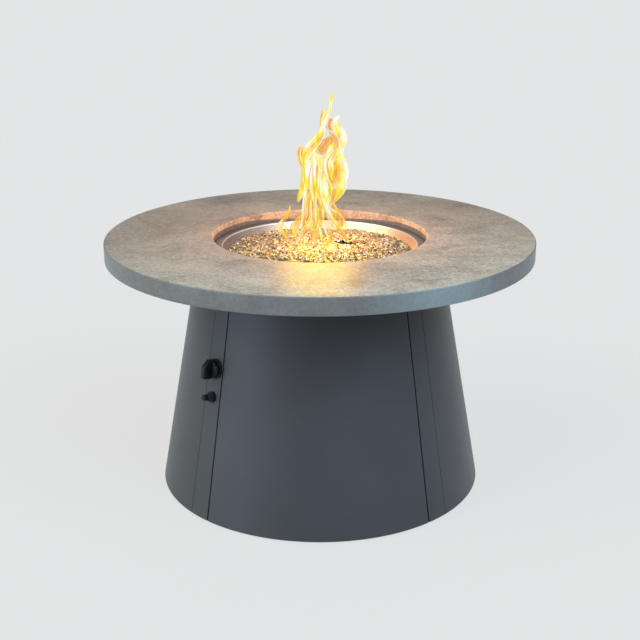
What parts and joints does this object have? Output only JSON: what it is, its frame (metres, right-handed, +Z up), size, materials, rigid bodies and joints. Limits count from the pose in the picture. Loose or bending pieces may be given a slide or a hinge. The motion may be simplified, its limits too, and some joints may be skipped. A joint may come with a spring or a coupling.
{
  "type": "gas fire pit table",
  "caption": "Round cast-top table on a cone-shaped steel base, with a drop-in gas burner pan, glass bed, control knob, igniter button and lift-off access panel.",
  "frame": {"origin": "on the floor, under the centre of the round top", "axes": "+Z up; front with the lift-off panel towards -Y; controls on the front left post; +X to the right of someone facing the front"},
  "size_m": [1.0669, 1.067, 0.644],
  "materials": {
    "cast_concrete": "smooth cast, sealed satin",
    "zinc_steel": "zinc plated",
    "stainless": "brushed stainless",
    "brass": "machined",
    "fire_glass": "clear tumbled glass",
    "burnt_steel": "heat-darkened steel",
    "aluminium_tube": "drawn tube",
    "copper": "drawn capillary",
    "ceramic": "glazed white",
    "lead_rubber": "silicone sleeve",
    "die_cast": "die cast",
    "black_plastic": "glossy black",
    "black_nylon": "matt black",
    "battery": "plain sleeve",
    "magnet": "nickel plated",
    "powder_coat": "graphite powder coat, satin"
  },
  "bodies": {
    "root": {"table_top": "cast_concrete", "top_inserts": "brass", "top_bolts": "zinc_steel", "burner_pan": "stainless", "burner_ring": "stainless", "burner_nipple": "brass", "burner_locknuts": "zinc_steel", "inlet_elbow": "brass", "air_mixer": "zinc_steel", "gas_orifice": "brass", "orifice_nut": "brass", "gas_tube": "stainless", "fire_glass": "fire_glass", "pilot_bracket": "burnt_steel", "pilot_hood": "burnt_steel", "pilot_tube": "aluminium_tube", "thermocouple": "burnt_steel", "thermocouple_lead": "copper", "electrode_insulator": "ceramic", "electrode_rod": "burnt_steel", "igniter_lead": "lead_rubber", "valve_body": "die_cast", "valve_inlet": "brass", "valve_outlet": "brass", "pilot_union": "brass", "thermocouple_nut": "brass", "valve_screws": "zinc_steel", "knob_bezel": "black_plastic", "igniter_body": "black_nylon", "igniter_battery": "battery", "igniter_terminal": "brass", "igniter_nut": "black_plastic", "top_ring": "powder_coat", "base_ring": "powder_coat", "floor_plate": "powder_coat", "tank_collar": "powder_coat", "glide_pads": "black_nylon", "glide_studs": "zinc_steel", "glide_nuts": "zinc_steel", "catch_brackets": "powder_coat", "catch_magnets": "magnet", "post_front_left": "powder_coat", "post_front_right": "powder_coat", "post_rear_right": "powder_coat", "post_rear_left": "powder_coat", "right_panel": "powder_coat", "rear_panel": "powder_coat", "left_panel": "powder_coat"},
    "access_panel": {"access_panel": "powder_coat"},
    "push_rod": {"valve_plunger": "zinc_steel"},
    "knob": {"knob": "black_plastic", "valve_stem": "zinc_steel"},
    "igniter_button": {"igniter_button": "black_plastic"}
  },
  "joints": [
    {"name": "knob_push", "type": "slide", "parent": "root", "child": "push_rod", "axis": [0.6959, 0.6959, -0.1775], "range_m": [0, 0.0035], "stiffness_N_per_m": 1200, "springref_m": -0.003},
    {"name": "knob_turn", "type": "hinge", "parent": "push_rod", "child": "knob", "pos_m": [-0.24449, -0.24449, 0.375], "axis": [-0.6959, -0.6959, 0.1775], "range_deg": [-90, 90]},
    {"name": "igniter_press", "type": "slide", "parent": "root", "child": "igniter_button", "axis": [0.6959, 0.6959, -0.1775], "range_m": [0, 0.005], "stiffness_N_per_m": 600, "springref_m": -0.004},
    {"name": "panel_pull", "type": "slide", "parent": "root", "child": "access_panel", "axis": [0, -1, 0], "range_m": [0, 0.35]}
  ]
}
